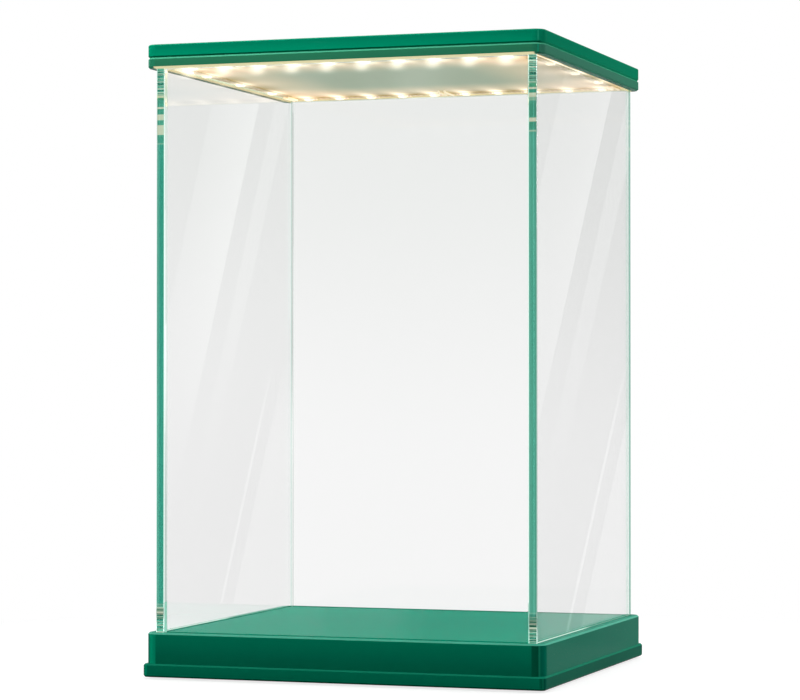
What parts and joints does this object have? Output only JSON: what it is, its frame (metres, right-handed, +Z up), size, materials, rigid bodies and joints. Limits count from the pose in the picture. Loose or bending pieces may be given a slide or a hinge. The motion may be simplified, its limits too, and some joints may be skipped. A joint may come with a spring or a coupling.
{
  "type": "display case",
  "caption": "Tabletop display case: clear panels standing in a grooved, stepped green base under a lift-off green lid whose pale ceiling is edged with small warm lights.",
  "frame": {"origin": "middle of the footprint, on the surface that the feet stand on", "axes": "+Z up, +X to the right, front towards -Y"},
  "size_m": [0.1896, 0.1746, 0.2878],
  "materials": {
    "green_acrylic": "polished cast acrylic",
    "green_plastic": "moulded, satin",
    "clear_acrylic": "polished clear acrylic",
    "opal_acrylic": "satin opal",
    "strip_white": "white lacquer on flexible laminate",
    "light_package": "moulded white",
    "light_window": "phosphor gel",
    "resistor_black": "chip resistor",
    "lead_white": "soft insulation",
    "board_laminate": "solder-masked laminate",
    "socket_steel": "nickel-plated",
    "black_plastic": "moulded, fine grain",
    "screw_steel": "zinc-plated",
    "insert_brass": "turned brass",
    "foot_rubber": "soft black rubber"
  },
  "bodies": {
    "base": {"base_plinth": "green_acrylic", "base_block": "green_acrylic", "base_screws": "screw_steel", "base_inserts": "insert_brass", "foot_front_left": "foot_rubber", "foot_front_right": "foot_rubber", "foot_back_left": "foot_rubber", "foot_back_right": "foot_rubber"},
    "cover": {"front_panel": "clear_acrylic", "back_panel": "clear_acrylic", "left_panel": "clear_acrylic", "right_panel": "clear_acrylic"},
    "lid": {"lid_top": "green_acrylic", "frame_front": "green_acrylic", "frame_left": "green_acrylic", "frame_right": "green_acrylic", "frame_back_left": "green_acrylic", "frame_back_right": "green_acrylic", "inlet_bezel": "green_plastic", "light_strip_front": "strip_white", "lights_front": "light_package", "light_windows_front": "light_window", "resistors_front": "resistor_black", "light_strip_back": "strip_white", "lights_back": "light_package", "light_windows_back": "light_window", "resistors_back": "resistor_black", "light_strip_left": "strip_white", "lights_left": "light_package", "light_windows_left": "light_window", "resistors_left": "resistor_black", "light_strip_right": "strip_white", "lights_right": "light_package", "light_windows_right": "light_window", "resistors_right": "resistor_black", "ceiling_sheet": "opal_acrylic", "jumpers_back_left": "lead_white", "jumpers_back_right": "lead_white", "jumpers_front_left": "lead_white", "feed_lead_positive": "lead_white", "feed_lead_negative": "lead_white", "power_board": "board_laminate", "socket_shell": "socket_steel", "socket_tongue": "black_plastic", "switch_body": "black_plastic"},
    "switch": {"switch_slider": "black_plastic"}
  },
  "joints": [
    {"name": "cover_lift", "type": "slide", "parent": "base", "child": "cover", "axis": [0, 0, 1], "range_m": [0, 0.28]},
    {"name": "lid_lift", "type": "slide", "parent": "cover", "child": "lid", "axis": [0, 0, 1], "range_m": [0, 0.1]},
    {"name": "power_switch", "type": "slide", "parent": "lid", "child": "switch", "axis": [1, 0, 0], "range_m": [0, 0.002]}
  ]
}
